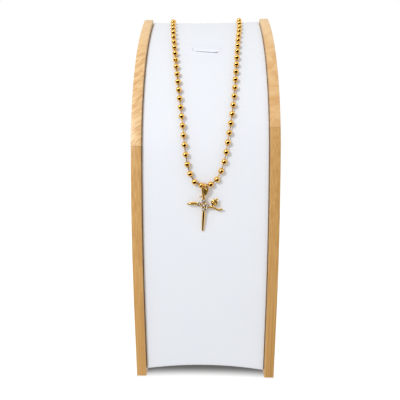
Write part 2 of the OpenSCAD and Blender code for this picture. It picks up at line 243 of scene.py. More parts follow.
def bamboo(name, joint_height, grain_from, slant, waves_up, figure, lower_pale, lower_deep):
    """Light lacquered bamboo. The grain runs up the lower length and slants in the upper one."""
    paint = Paint(bpy.data.materials.new(name))
    spot = paint.place()
    above = spot.part("Z") - joint_height
    upper = above.between(-joint_blur, joint_blur)
    streaks = paint.noise(paint.place(move=grain_from, scale=streaks_per_mm),
                          detail=3.0, roughness=0.62)
    fibres = paint.noise(paint.place(move=grain_from, scale=fibres_per_mm), roughness=0.6)
    waves = paint.noise(paint.place(turn=(0, math.radians(slant), 0), move=grain_from,
                                    scale=(*waves_per_mm, waves_up)),
                        detail=3.0, roughness=0.6, distortion=0.9)
    flecks = paint.noise(paint.place(turn=(fleck_lean, 0, 0), move=grain_from,
                                     scale=flecks_per_mm)).between(0.60, 0.68)
    flecks = flecks * (above.between(*flecks_start) * (1 - above.between(*flecks_end)))
    lower_tone = streaks.between(0.32, 0.70) * 0.75 + fibres * 0.30
    upper_tone = waves.between(0.36, 0.66) * figure * (0.95 - 0.6 * above.between(*waves_calm))
    upper_tone = upper_tone + fibres * 0.15
    upper_tone = upper_tone + (1 - figure) * 1.1 * (1 - above.between(*plain_end))
    tone = lower_tone * (1 - upper) + upper_tone * upper + flecks * 0.28
    wood = paint.mix(tone, paint.mix(upper, colour(*lower_pale), colour(*upper_pale)),
                     paint.mix(upper, colour(*lower_deep), colour(*upper_deep)))
    pores = paint.noise(paint.place(move=grain_from, scale=pores_per_mm),
                        detail=1.0).between(0.62, 0.72)
    wood = paint.mix(pores * (0.35 - 0.25 * upper), wood, colour(*pore_brown))
    joint = 1 - abs(above).between(*joint_line)
    wood = paint.mix(joint * 0.5, wood, colour(*joint_brown))
    # Painted shade: the inner face is darkened where it meets the board.
    painted_gap_shade = 1 - abs(spot.part("X")).between(*gap_shade_end)
    wood = paint.mix(painted_gap_shade * 0.85, wood, colour(*gap_shade_brown))
    relief = streaks * 0.5 + fibres * 0.5 - pores * 0.4 - joint * 1.5
    return paint.set(Base_Color=wood, Roughness=0.34 + 0.16 * fibres,
                     Normal=paint.bump(relief, 0.25, 0.05 * MM), Coat_Weight=0.25,
                     Coat_Roughness=0.25)


def scene_object(bm, name):
    """Makes a bmesh a mesh object of the scene."""
    mesh = bpy.data.meshes.new(name)
    bm.to_mesh(mesh)
    bm.free()
    made = bpy.data.objects.new(name, mesh)
    bpy.context.scene.collection.objects.link(made)
    return made


def finished(bm, name, material, nodes, smooth_below=50):
    """Turns a piece made in millimetres into an object in the row frame, on body root."""
    bmesh.ops.recalc_face_normals(bm, faces=bm.faces)
    bmesh.ops.translate(bm, verts=bm.verts, vec=(0, -foot_depth / 2, 0))
    bmesh.ops.scale(bm, verts=bm.verts, vec=(MM, MM, MM))
    for face in bm.faces:
        face.smooth = True
    piece = scene_object(bm, name)
    piece.data.set_sharp_from_angle(angle=math.radians(smooth_below))
    piece.data.materials.append(material)
    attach(piece, "root")
    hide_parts(*nodes)
    return piece


def side_panel(name, x, material):
    """One panel: its outline grows from the heel, and is made a board towards +X."""
    bm = bmesh.new()
    heel = bm.verts.new((x, 0, 0))
    point = extrude_point(bm, heel, (x, 0, upright_height))
    point = spin_point(bm, point, long_centre, long_turn, long_steps)
    point = spin_point(bm, point, top_centre, top_turn, top_steps)
    point = extrude_point(bm, point, (x, *front_point(front_length, panel_top_depth)))
    point = extrude_point(bm, point, (x, foot_depth, 0))
    bmesh.ops.contextual_create(bm, geom=[point, heel])
    bmesh.ops.contextual_create(bm, geom=bm.edges[:])
    side = bmesh.ops.extrude_face_region(bm, geom=bm.faces[:])["geom"]
    bmesh.ops.translate(bm, verts=points_in(side), vec=(panel_thickness, 0, 0))
    sharp = [e for e in bm.edges if e.calc_face_angle() > math.radians(30)]
    bmesh.ops.bevel(bm, geom=sharp, offset=panel_edge_round, offset_type="OFFSET", segments=3,
                    profile=0.5, affect="EDGES", material=-1, clamp_overlap=True)
    finished(bm, name, material, [name], smooth_below=25)


side_panel("side_panel_left", -stand_width / 2, bamboo(
    "bamboo_left", joint_height=133.0, grain_from=(3.1, 0.4, 1.7), slant=36, waves_up=0.75,
    figure=1.0, lower_pale=(229, 184, 116), lower_deep=(195, 141, 73)))
side_panel("side_panel_right", panel_inner, bamboo(
    "bamboo_right", joint_height=142.6, grain_from=(17.3, 6.2, 9.1), slant=28, waves_up=0.17,
    figure=0.6, lower_pale=(222, 178, 110), lower_deep=(188, 135, 68)))

# Padded board
# A thin bent board with a little foam, drawn over with white leatherette. Both ends are cut to a
# shallow arch. The leatherette is turned into a slot near the top and nearly shuts it.
board_gap = 0.2
board_half = panel_inner - board_gap
board_recess = 2
board_thickness = 8
board_middle = board_recess + board_thickness / 2
board_side_round = 0.6
board_end_round = 1.7
board_least_half = 0.4
board_foot = 5.5
board_arch = 2.8
top_arch_share = 0.9

# The front is a grid. This is its count of squares, and the share of it that lies flat.
squares_across, squares_along = 40, 120
flat_across, flat_along = 0.8, 0.93

slot_length, slot_width = 15.5, 3.3
slot_middle = Vector((-0.2, 196.6))
slot_tilt = math.radians(7.4)
slot_half = slot_width / 2
slot_reach = (slot_length - slot_width) / 2
slot_line = Vector((math.cos(slot_tilt), -math.sin(slot_tilt)))

# The rim takes the grid's place this far to each side of the slot's middle, along x and s.
rim_reach = (10.5, 4.5)

# The leatherette's loops from the rim into the slot: distance from the slot's middle line,
# depth under the front, and how far the loop is drawn to the slit, from 0 to 1. Where the
# leatherette ends, the wall of the slot is raw board.
slit_half = 0.24
lip_loops = ((slot_half + 0.9, 0.0, 0), (slot_half + 0.5, -0.12, 0),
             (slot_half + 0.2, -0.08, 0), (slot_half, 0.3, 0), (slot_half - 0.3, 0.45, 0.2),
             (slot_half - 0.8, 0.6, 0.6), (slit_half, 0.75, 1), (slit_half, 1.1, 1))
leatherette_end = 2.2

# The slit lies off the slot's middle, is a little longer and gapes at its right end.
slit_shift = Vector((0.95, -0.62))
slit_stretch = 0.10
slit_gape = 0.7
gape_from = 5.9

leatherette_low, leatherette_high = (237, 242, 253), (241, 246, 254)
# Painted shade for the creases of the pebble.
painted_crease_shade = (222, 226, 233)
raw_dark, raw_light = (70, 66, 62), (110, 104, 98)


def edges_in(made):
    """The edges among the things that an operator made."""
    return [e for e in made if isinstance(e, bmesh.types.BMEdge)]


def rounded(share, flat_share, half, radius):
    """Place across a surface whose borders are rounded, and how deep it has dropped there."""
    if abs(share) <= flat_share:
        return share / flat_share * (half - radius), 0.0
    turn = (abs(share) - flat_share) / (1 - flat_share) * math.pi / 2
    place = half - radius + radius * math.sin(turn)
    return math.copysign(place, share), radius * (1 - math.cos(turn))


def beside_slot(spot):
    """Nearest place on the slot's middle line to a place given as (x, s)."""
    along = max(-slot_reach, min(slot_reach, (spot - slot_middle).dot(slot_line)))
    return slot_middle + along * slot_line


def loop_round_slot(bm, edges, distance, depth):
    """Extrudes a loop to a distance from the slot's middle line. Gives its points and edges."""
    new = bmesh.ops.extrude_edge_only(bm, edges=edges)["geom"]
    for vert in points_in(new):
        near = beside_slot(vert.co.xy)
        out = (vert.co.xy - near).normalized()
        vert.co = (*(near + out * distance), depth)
    return points_in(new), [e for e in edges_in(new) if e.is_boundary]


def draw_to_slit(vert, shut):
    """Moves a point of the lips by its share of the way to the slit."""
    upper_lip = vert.co.y > beside_slot(vert.co.xy).y
    vert.co.xy += slit_shift * shut
    vert.co.x += (vert.co.x - slot_middle.x) * slit_stretch * shut
    if upper_lip and shut == 1:
        vert.co.y += slit_gape * max(0.0, min(1.0, vert.co.x - gape_from))


def leatherette(name):
    """White leatherette with a fine pebble, painted shade in its creases and a faint broad mottle
    in its tone.
    """
    paint = Paint(bpy.data.materials.new(name))
    spot = paint.place()
    pebble = paint.node("ShaderNodeTexVoronoi", {"feature": "SMOOTH_F1"}, {
        "Vector": spot, "Scale": 2.6, "Smoothness": 0.6})
    fine = paint.noise(spot, 5.0, 3.0, 0.6)
    broad = paint.noise(spot, 0.035)
    skin = paint.mix(broad, colour(*leatherette_low), colour(*leatherette_high))
    # Painted shade: the creases of the pebble are a little darker.
    skin = paint.mix(pebble.between(0.35, 0.75) * 0.10, skin, colour(*painted_crease_shade))
    return paint.set(Base_Color=skin, Roughness=0.42 + 0.12 * fine,
                     Normal=paint.bump(fine * 0.35 - pebble, 0.30, 0.05 * MM),
                     Specular_IOR_Level=0.4)


def raw_board(name):
    """The grey board under the leatherette, bare only inside the slot."""
    paint = Paint(bpy.data.materials.new(name))
    fibre = paint.noise(paint.place(scale=(1, 1, 3)), 3.0, 3.0, 0.6)
    return paint.set(Base_Color=paint.mix(fibre, colour(*raw_dark), colour(*raw_light)),
                     Roughness=0.9, Normal=paint.bump(fibre, 0.4, 0.1 * MM))


def board_front(bm):
    """The front of the board, laid out flat with s as y and the depth as z."""
    bmesh.ops.create_grid(bm, x_segments=squares_across, y_segments=squares_along, size=1)
    for vert in bm.verts:
        x, side_drop = rounded(vert.co.x, flat_across, board_half, board_side_round)
        arch = board_arch * (x / board_half) ** 2
        low, high = board_foot - arch, front_length + top_arch_share * arch
        s, end_drop = rounded(vert.co.y, flat_along, (high - low) / 2, board_end_round)
        drop = min(board_thickness / 2 - board_least_half, math.hypot(side_drop, end_drop))
        vert.co = (x, (low + high) / 2 + s, board_recess + drop)


def cut_slot(bm, border):
    """Opens the slot in the front, inside its border, and draws the leatherette into it."""
    off_slot = ((f, f.calc_center_median().xy - slot_middle) for f in bm.faces)
    hole = [f for f, off in off_slot if abs(off.x) < rim_reach[0] and abs(off.y) < rim_reach[1]]
    bmesh.ops.delete(bm, geom=hole, context="FACES")
    hole_edges = [e for e in bm.edges if e.is_boundary and e not in border]
    halved = bmesh.ops.subdivide_edges(bm, edges=hole_edges, cuts=1)["geom_inner"]
    rim = [e for v in points_in(halved) for e in v.link_edges if e.is_boundary]
    lips = []
    for distance, depth, shut in lip_loops:
        points, rim = loop_round_slot(bm, rim, distance, board_recess + depth)
        lips += [(point, shut) for point in points]
    covered = set(bm.faces)
    for depth in (board_recess + leatherette_end, board_middle):
        points, rim = loop_round_slot(bm, rim, slot_half, depth)
    for vert, shut in lips:
        draw_to_slit(vert, shut)
    for face in bm.faces:
        face.material_index = 0 if face in covered else 1


def padded_board():
    """The front with its slot, the same again for the back, all bent to the panels."""
    bm = bmesh.new()
    board_front(bm)
    border = [e for e in bm.edges if e.is_boundary]
    cut_slot(bm, border)
    wall = bmesh.ops.extrude_edge_only(bm, edges=border)["geom"]
    for vert in points_in(wall):
        vert.co.z = board_middle
    back = bmesh.ops.duplicate(bm, geom=bm.verts[:] + bm.edges[:] + bm.faces[:])["geom"]
    for vert in points_in(back):
        vert.co.z = 2 * board_middle - vert.co.z
    bmesh.ops.remove_doubles(bm, verts=bm.verts, dist=0.01)
    for vert in bm.verts:
        vert.co.y, vert.co.z = front_point(vert.co.y, vert.co.z)
    board = finished(bm, "padded_board", leatherette("white_leatherette"),
                     ["padded_board"], smooth_below=60)
    board.data.materials.append(raw_board("grey_board"))
    return board


padded_board()

# Chain balls
# Hollow balls of thin gold-plated sheet, rolled shut round the ends of the pins, so that each has
# a small turned-in hole on either side. They follow the balls of the CAD chain.
ball_radius = 1.6
ball_hole = 0.475
ball_sides, ball_rings = 20, 14
neighbour_reach = 5.7

# Height and radius of the loops that turn in at a ball's hole.
hole_loops = ((1.53, ball_hole), (1.38, ball_hole - 0.03))

# From this share of its radius on, each half of a ball has turned fully to its neighbour.
turned_share = 0.8

chain_tint = (0.93, 0.56, 0.15)
worn_share = (0.96, 0.93, 0.85)


def gold(name, tint=chain_tint, dull=0.03, metal=1.0, metal_below=None):
    """Polished yellow gold with faint rub marks. Below a height it can be fully metallic."""
    paint = Paint(bpy.data.materials.new(name))
    spot = paint.place()
    rub = paint.noise(spot, 1.3, 3.0, 0.6)
    fine = paint.noise(paint.place(scale=(1, 1, 0.3)), 9.0, 2.0, 0.6)
    worn = [light * share for light, share in zip(tint, worn_share)]
    shade = paint.mix(rub.between(0.35, 0.7), (*tint, 1), (*worn, 1))
    if metal_below is not None:
        metal = 1 - (1 - metal) * spot.part("Z").between(metal_below, metal_below + 1)
    return paint.set(Base_Color=shade, Metallic=metal, Roughness=dull + 0.08 * rub * fine,
                     Normal=paint.bump(fine, 0.05, 0.02 * MM))


def cad_islands(node):
    """Middles of the separate solids of a CAD node, in millimetres, as it was modelled."""
    bm = bmesh.new()
    bm.from_mesh(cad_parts[node].data)
    bmesh.ops.remove_doubles(bm, verts=bm.verts, dist=1e-7)
    seen, middles = set(), []
    for first in bm.verts:
        if first in seen:
            continue
        seen.add(first)
        island = [first]
        for vert in island:
            others = [edge.other_vert(vert) for edge in vert.link_edges]
            new = [other for other in others if other not in seen]
            seen.update(new)
            island += new
        low = Vector([min(v.co[k] for v in island) for k in range(3)])
        high = Vector([max(v.co[k] for v in island) for k in range(3)])
        middles.append((low + high) / 2 / MM + Vector((0, foot_depth / 2, 0)))
    bm.free()
    return middles


def join(bm, part):
    """Adds a part made in its own bmesh, which is quick however large the whole grows."""
    mesh = bpy.data.meshes.new("part")
    part.to_mesh(mesh)
    part.free()
    bm.from_mesh(mesh)
    bpy.data.meshes.remove(mesh)


def in_coupling(point):
    low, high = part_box("chain_coupling")
    spot = (point - Vector((0, foot_depth / 2, 0))) * MM
    return all(low[k] < spot[k] < high[k] for k in range(3))


balls = cad_islands("chain_beads")
links = [(a, b) for i, a in enumerate(balls) for b in balls[i + 1:]
         if (a - b).length < neighbour_reach and not (in_coupling(a) and in_coupling(b))]


def ball(middle, neighbours):
    """One ball, its poles turned to its neighbours and sunk into holes."""
    bm = bmesh.new()
    verts = bmesh.ops.create_uvsphere(bm, u_segments=ball_sides, v_segments=ball_rings,
                                      radius=ball_radius)["verts"]
    poles = [v for v in verts if v.co.xy.length < 0.001]
    bmesh.ops.delete(bm, geom=poles, context="VERTS")
    for side in (1, -1):
        rim = [e for e in bm.edges if e.is_boundary and e.verts[0].co.z * side > 0]
        for height, radius in hole_loops:
            new = bmesh.ops.extrude_edge_only(bm, edges=rim)["geom"]
            for vert in points_in(new):
                vert.co = (*(vert.co.xy.normalized() * radius), side * height)
            rim = [e for e in edges_in(new) if e.is_boundary]
    ways = [(n - middle).normalized() for n in neighbours]
    if len(ways) == 1:
        ways.append(-ways[0])
    axis = (ways[0] - ways[1]).normalized()
    base = axis.to_track_quat("Z", "Y")
    for vert in bm.verts:
        way = ways[0] if vert.co.z > 0 else -ways[1]
        share = min(1.0, abs(vert.co.z) / (ball_radius * turned_share)) ** 2
        turn = axis.rotation_difference(axis.lerp(way, share).normalized())
        vert.co = middle + turn @ (base @ vert.co)
    return bm


def chain_balls():
    bm = bmesh.new()
    for middle in balls:
        join(bm, ball(middle, [b if a is middle else a for a, b in links if middle in (a, b)]))
    finished(bm, "chain_balls", gold("chain_gold"), ["chain_beads"])


chain_balls()

# Chain pins
# Short drawn wires, upset at both ends inside the balls, so that each link can turn and tilt.
# Their gold is painted darker than the balls', as painted shade for where they lie in the shade
# between them.
pin_radius = 0.325
pin_sides = 12
pin_in_ball = 0.35
pin_waist = 0.86
# A darker gold, as painted shade between the balls.
shaded_pin_tint = (0.44, 0.26, 0.08)


def pin(a, b):
    """One pin between two balls, drawn a little thinner at its middle."""
    bm = bmesh.new()
    length = (b - a).length - 2 * (ball_radius - pin_in_ball)
    bmesh.ops.create_cone(bm, cap_ends=True, segments=pin_sides, radius1=pin_radius,
                          radius2=pin_radius, depth=length)
    waist = bmesh.ops.bisect_plane(bm, geom=bm.verts[:] + bm.edges[:] + bm.faces[:],
                                   plane_co=(0, 0, 0), plane_no=(0, 0, 1))["geom_cut"]
    bmesh.ops.scale(bm, verts=points_in(waist), vec=(pin_waist, pin_waist, 1))
    turn = (b - a).to_track_quat("Z", "Y").to_matrix().to_4x4()
    bmesh.ops.transform(bm, verts=bm.verts, matrix=Matrix.Translation((a + b) / 2) @ turn)
    return bm


def chain_pins():
    bm = bmesh.new()
    for a, b in links:
        join(bm, pin(a, b))
    finished(bm, "chain_pins", gold("shaded_pin_gold", shaded_pin_tint, dull=0.26), ["chain_pins"])


chain_pins()

# Coupling
# A rolled barrel behind the board that closes the chain: both end balls snap into it through the
# slot down its back, and its mouths hold them by their pins.
coupling_radius = 2.1
coupling_bore = 1.75
coupling_half = 4.675
coupling_mouth = 1.45
coupling_wall = 0.3
coupling_slot = 0.475
coupling_steps = 44

# Radius and height of the outline, from the mouth over the round end to the rolled groove.
coupling_end = ((coupling_mouth, coupling_half), (1.75, coupling_half),
                (1.98, coupling_half - 0.1), (coupling_radius, coupling_half - 0.35),
                (coupling_radius, 3.1), (coupling_radius - 0.09, 2.95), (coupling_radius, 2.8))


def coupling():
    """The barrel, spun from its outline and turned to lie between the two end balls."""
    bm = bmesh.new()
    other_end = [(radius, -height) for radius, height in reversed(coupling_end)]
    inner_half = coupling_half - coupling_wall
    inside = [(coupling_mouth, -inner_half), (coupling_bore, -inner_half),
              (coupling_bore, inner_half), (coupling_mouth, inner_half)]
    start = point = bm.verts.new((coupling_mouth, 0, coupling_half))
    for radius, height in (*coupling_end[1:], *other_end, *inside):
        point = extrude_point(bm, point, (radius, 0, height))
    bmesh.ops.contextual_create(bm, geom=[point, start])
    face = bmesh.ops.contextual_create(bm, geom=bm.edges[:])["faces"]
    slot_turn = math.asin(coupling_slot / coupling_radius)
    bmesh.ops.rotate(bm, verts=bm.verts, cent=(0, 0, 0),
                     matrix=Matrix.Rotation(math.pi / 2 + slot_turn, 3, "Z"))
    bmesh.ops.spin(bm, geom=face, cent=(0, 0, 0), axis=(0, 0, 1),
                   angle=2 * (math.pi - slot_turn), steps=coupling_steps, use_merge=False,
                   use_duplicate=False)
    bmesh.ops.remove_doubles(bm, verts=bm.verts, dist=0.001)
    left, right = sorted((b for b in balls if in_coupling(b)), key=lambda b: b.x)
    way = (right - left).normalized()
    inwards = Vector((0, 1, 0))
    turn = Matrix((way.cross(inwards).normalized(), inwards, way)).transposed()
    bmesh.ops.rotate(bm, verts=bm.verts, cent=(0, 0, 0), matrix=turn)
    bmesh.ops.translate(bm, verts=bm.verts, vec=(left + right) / 2)
    finished(bm, "chain_coupling", gold("coupling_gold", dull=0.14),
             ["chain_coupling"], smooth_below=35)


coupling()

# Cross
# One small casting in yellow gold, polished all over: a tapering stem, a wire that loops over at
# the top and wraps the neck, a leaf-shaped left arm, and a right arm that curls into a scroll.
cross_x, cross_z = -0.85, 101.72
cross_off_board = 0.75
cast_voxel = 0.07
cross_tint = (0.95, 0.60, 0.17)
bright_below = 98

# Middle lines of the cast wires, seen from the middle of the cross: x, y, z and radius.
foot_wire = [(0.05, 0.10, -3.0, 0.62), (0.05, 0.10, -3.6, 0.72), (-0.03, 0, -5.0, 0.80),
             (-0.20, 0, -8.0, 0.78), (-0.36, 0, -11.0, 0.69), (-0.48, 0, -13.7, 0.55)]
loop_wire = [(0.05, 0.10, 3.9, 0.74), (-0.12, 0, 5.2, 0.70), (-0.42, 0, 6.8, 0.64),
             (-0.60, -0.04, 8.3, 0.60), (-0.50, -0.24, 9.7, 0.54), (-0.02, -0.28, 10.6, 0.54),
             (0.85, -0.20, 10.9, 0.54), (1.68, -0.16, 10.6, 0.54), (2.14, -0.10, 9.5, 0.52),
             (2.02, 0, 7.9, 0.50), (1.45, 0.25, 6.4, 0.46), (0.45, 0.62, 5.45, 0.43),
             (-0.60, 0.68, 5.05, 0.40), (-1.45, 0.40, 4.8, 0.36), (-2.05, 0.20, 4.5, 0.30)]
left_wire = [(-3.15, 0.13, 0.96, 0.62), (-4.2, 0.05, 1.12, 0.82), (-5.5, 0, 1.2, 0.92),
             (-7.1, 0, 1.08, 0.78), (-8.5, 0, 0.82, 0.45)]
right_wire = [(2.9, 0.10, -0.6, 0.62), (3.8, 0, -0.88, 0.68), (4.9, 0, -0.98, 0.62),
              (6.2, 0, -1.5, 0.60), (7.4, 0, -2.1, 0.60), (8.7, 0, -2.25, 0.60),
              (9.75, 0, -2.0, 0.55)]

# x and z of the stones, from the top one to the left, middle, right and bottom ones. A thin bar
# runs behind each row of three.
stone_spots = [(0, 2.5), (-2.43, 0.9), (0, 0), (1.97, -0.36), (0.08, -1.95)]
upright_bar = [(x, 0.12, z, 0.62) for x, z in stone_spots[0::2]]
cross_bar = [(x, -0.03, z, 0.53) for x, z in stone_spots[1:4]]

# The scroll's middle, the first point of its wire, its turns in degrees, how many degrees wind
# it in by a millimetre once it has closed, and how it comes forward and thins to its end.
scroll_x, scroll_z = 5.763, 1.724
scroll_root = (4.55, 0.07, -0.62, 0.5)
scroll_radius = 1.374
scroll_from = 228.7
scroll_turn = 460
scroll_step = 20
scroll_closes = 300
scroll_winding = 190
scroll_depth = -0.25
scroll_wire_radius = 0.5
scroll_thinning = 0.16

# Balls that are cast with the wires, as sides, rings, radius, stretch and place: the one beside
# the scroll, the scroll's heart, the fill of the loop and the web behind the scroll.
cast_balls = ((20, 14, 0.6, (1, 1, 1), (7.1, 0, 3.5)),
              (16, 12, 0.4, (1, 1, 1), (scroll_x, scroll_depth, scroll_z)),
              (24, 16, 1, (1.25, 0.55, 2.0), (0.75, 0.42, 7.7)),
              (24, 12, 1.25, (1, 0.42, 1), (scroll_x, 0.2, scroll_z)))

# The square cups of the stones. Heights are seen from the girdle of the stone.
girdle_depth = -0.5
collet_half = 1.0
collet_corner = 0.35
collet_up = 0.22
collet_down = 1.15
collet_taper = 0.88
seat_radius = 0.845
seat_tip = 0.16
seat_shoulder = -0.2
seat_cone = 0.48
seat_rise = 1.2
grain_radius = 0.19
grain_out = 0.16
grain_up = 0.02
grain_flat = 0.9
grain_root = 2.2


def scroll_wire():
    """Coil that rises from the right arm, goes once round and winds in to its centre."""
    points = [scroll_root]
    for turn in range(0, scroll_turn + 1, scroll_step):
        radius = scroll_radius - max(0, turn - scroll_closes) / scroll_winding
        angle, share = math.radians(scroll_from - turn), turn / scroll_turn
        points.append((scroll_x + radius * math.cos(angle), scroll_depth * share,
                       scroll_z + radius * math.sin(angle),
                       scroll_wire_radius - scroll_thinning * share))
    return points


def smooth_line(points, steps):
    """Points of a smooth curve through the given ones."""
    line, last = [], len(points) - 1
    for i in range(last):
        before, start, end, after = (Vector(points[max(0, min(last, k))])
                                     for k in range(i - 1, i + 3))
        for t in (step / steps for step in range(steps)):
            line.append(0.5 * (2 * start + (end - before) * t
                               + (2 * before - 5 * start + 4 * end - after) * t * t
                               + (3 * start - before - 3 * end + after) * t ** 3))
    return line + [Vector(points[-1])]


def add_wire(bm, points, steps=6):
    """Sweeps a round wire of changing thickness along a smooth curve, with round ends."""
    line = smooth_line(points, steps)
    ends = []
    for end, nearby in ((line[0], line[1]), (line[-1], line[-2])):
        out = (end.xyz - nearby.xyz).normalized()
        ends.append([Vector((*(end.xyz + out * end.w * math.cos(turn)), end.w * math.sin(turn)))
                     for turn in map(math.radians, (4, 20, 40, 65))])
    line = ends[0] + line + ends[1][::-1]
    curve = bpy.data.curves.new("wire", "CURVE")
    curve.dimensions, curve.fill_mode = "3D", "FULL"
    curve.bevel_depth, curve.bevel_resolution, curve.use_fill_caps = 1.0, 4, True
    spline = curve.splines.new("POLY")
    spline.points.add(len(line) - 1)
    for point, spot in zip(spline.points, line):
        point.co, point.radius = (*spot.xyz, 1), spot.w
    swept = bpy.data.objects.new("wire", curve)
    bpy.context.scene.collection.objects.link(swept)
    mesh = bpy.data.meshes.new_from_object(
        swept.evaluated_get(bpy.context.evaluated_depsgraph_get()))
    bm.from_mesh(mesh)
    bpy.data.objects.remove(swept)
    bpy.data.curves.remove(curve)
    bpy.data.meshes.remove(mesh)


def add_cast_ball(bm, sides, rings, radius, stretch, place):
    verts = bmesh.ops.create_uvsphere(bm, u_segments=sides, v_segments=rings,
                                      radius=radius)["verts"]
    bmesh.ops.scale(bm, verts=verts, vec=stretch)
    bmesh.ops.translate(bm, verts=verts, vec=place)


def with_modifier(bm, kind, **settings):
    """Applies a modifier and gives the result as a new bmesh."""
    work = scene_object(bm, "work")
    mesh, modifier = work.data, work.modifiers.new(kind, kind)
    for key, value in settings.items():
        setattr(modifier, key, value)
    result = bmesh.new()
    result.from_object(work, bpy.context.evaluated_depsgraph_get())
    bpy.data.objects.remove(work)
    bpy.data.meshes.remove(mesh)
    return result


def facing(spot):
    """Puts the middle at a stone's girdle and turns +Z to face out of the cross."""
    out = Matrix.Rotation(math.pi / 2, 4, "X")
    return Matrix.Translation((spot[0], girdle_depth, spot[1])) @ out


def add_collet(bm, spot):
    """Square cup with rounded corners, a little narrower at its back."""
    corners = bmesh.ops.create_grid(bm, x_segments=1, y_segments=1, size=collet_half)["verts"]
    made = bmesh.ops.bevel(bm, geom=corners, offset=collet_corner, offset_type="OFFSET",
                           segments=4, profile=0.5, affect="VERTICES", material=-1)
    face = made["verts"][0].link_faces[0]
    cup = list(face.verts)
    bmesh.ops.translate(bm, verts=cup, vec=(0, 0, collet_up))
    lower = points_in(bmesh.ops.extrude_face_region(bm, geom=[face])["geom"])
    bmesh.ops.translate(bm, verts=lower, vec=(0, 0, -collet_up - collet_down))
    bmesh.ops.scale(bm, verts=lower, vec=(collet_taper, collet_taper, 1))
    bmesh.ops.transform(bm, matrix=facing(spot), verts=cup + lower)


def seats():
    """Room for the stones: straight round the girdle, a cone under it."""
    bm = bmesh.new()
    for spot in stone_spots:
        cone = bmesh.ops.create_cone(bm, cap_ends=True, segments=32, radius1=seat_tip,
                                     radius2=seat_radius, depth=seat_cone)["verts"]
        bmesh.ops.translate(bm, verts=cone, vec=(0, 0, seat_shoulder - seat_cone / 2))
        top = max((f for v in cone for f in v.link_faces),
                  key=lambda f: f.calc_center_median().z)
        raised = points_in(bmesh.ops.extrude_face_region(bm, geom=[top])["geom"])
        bmesh.ops.delete(bm, geom=[top], context="FACES_ONLY")
        bmesh.ops.translate(bm, verts=raised, vec=(0, 0, seat_rise))
        bmesh.ops.transform(bm, matrix=facing(spot), verts=cone + raised)
    bmesh.ops.recalc_face_normals(bm, faces=bm.faces)
    return scene_object(bm, "seats")


def grains(spot):
    """Four grains that hold a stone, raised from the corners of its collet."""
    bm = bmesh.new()
    for quarter in range(4):
        grain = bmesh.ops.create_uvsphere(bm, u_segments=14, v_segments=8,
                                          radius=grain_radius)["verts"]
        for vert in grain:
            vert.co.z *= grain_flat * (grain_root if vert.co.z < 0 else 1)
        turn = Matrix.Rotation(math.radians(45 + 90 * quarter), 4, "Z")
        out = Matrix.Translation((seat_radius + grain_out, 0, collet_up + grain_up))
        bmesh.ops.transform(bm, verts=grain, matrix=facing(spot) @ turn @ out)
    return bm


def front_depth(z):
    """Depth of the board's front at a height, by halving."""
    low_s, high_s = 0.0, front_length
    for _ in range(30):
        middle = (low_s + high_s) / 2
        if front_point(middle, board_recess)[1] > z:
            high_s = middle
        else:
            low_s = middle
    return front_point(low_s, board_recess)[0]


lowest = cross_z + foot_wire[-1][2]
at_cross = Vector((cross_x, front_depth(lowest) - cross_off_board, cross_z))


def cross():
    """The cast wires, balls and collets melted into one, then cut for the stones."""
    bm = bmesh.new()
    for points in (foot_wire, loop_wire, left_wire, right_wire, upright_bar, cross_bar):
        add_wire(bm, points)
    add_wire(bm, scroll_wire(), steps=2)
    for row in cast_balls:
        add_cast_ball(bm, *row)
    for spot in stone_spots:
        add_collet(bm, spot)
    bmesh.ops.recalc_face_normals(bm, faces=bm.faces)
    cutter = seats()
    bm = with_modifier(bm, "REMESH", mode="VOXEL", voxel_size=cast_voxel, adaptivity=0.0)
    for _ in range(3):
        bmesh.ops.smooth_vert(bm, verts=bm.verts, factor=0.5, use_axis_x=True, use_axis_y=True,
                              use_axis_z=True)
    bm = with_modifier(bm, "BOOLEAN", operation="DIFFERENCE", object=cutter, solver="EXACT")
    bpy.data.objects.remove(cutter)
    for spot in stone_spots:
        join(bm, grains(spot))
    bmesh.ops.translate(bm, verts=bm.verts, vec=at_cross)
    cast_gold = gold("cross_gold", cross_tint, dull=0.05, metal=0.86, metal_below=bright_below)
    finished(bm, "cross", cast_gold, ["cross"], smooth_below=45)


cross()

# Jump ring
# An oval of round gold wire, bent shut, that hangs the cross on the chain. It goes round the
# middle pin of the chain and through the loop of the cross.
loop_top = Vector(max(loop_wire, key=lambda row: row[2]))
ring_wire = 0.25
ring_room = 0.12
ring_radius = loop_top.w + ring_room + ring_wire
ring_x, ring_z = 0.25, 114.8
ring_from = loop_top.w - pin_radius


def jump_ring():
    nearest = sorted(balls, key=lambda b: abs(b.x - ring_x) + abs(b.z - ring_z))[:2]
    left, right = sorted(nearest, key=lambda b: b.x)
    pin_at = left + (right - left) * ((ring_x - left.x) / (right.x - left.x))
    loop_at = at_cross + loop_top.xyz
    reach = (loop_at - pin_at).length
    bm = bmesh.new()
    wire = bmesh.ops.create_circle(bm, segments=16, radius=ring_wire)["verts"]
    bmesh.ops.translate(bm, verts=wire, vec=(ring_radius, 0, ring_from))
    rim = bm.edges[:]
    for centre, length in ((ring_from, reach - ring_from), (reach, ring_from - reach)):
        bend = bmesh.ops.spin(bm, geom=rim, cent=(0, 0, centre), axis=(0, 1, 0), angle=math.pi,
                              steps=20, use_merge=False, use_duplicate=False)["geom_last"]
        straight = bmesh.ops.extrude_edge_only(bm, edges=edges_in(bend))["geom"]
        bmesh.ops.translate(bm, verts=points_in(straight), vec=(0, 0, length))
        rim = [e for e in edges_in(straight) if e.is_boundary]
    bmesh.ops.remove_doubles(bm, verts=bm.verts, dist=0.002)
    way = (loop_at - pin_at).normalized()
    side = way.cross(Vector((0, 0, 1))).normalized()
    bmesh.ops.rotate(bm, verts=bm.verts, cent=(0, 0, 0),
                     matrix=Matrix((side.cross(way), side, way)).transposed())
    bmesh.ops.translate(bm, verts=bm.verts, vec=pin_at)
    finished(bm, "jump_ring", gold("ring_gold", dull=0.06, metal=0.85), ["jump_ring"])


jump_ring()

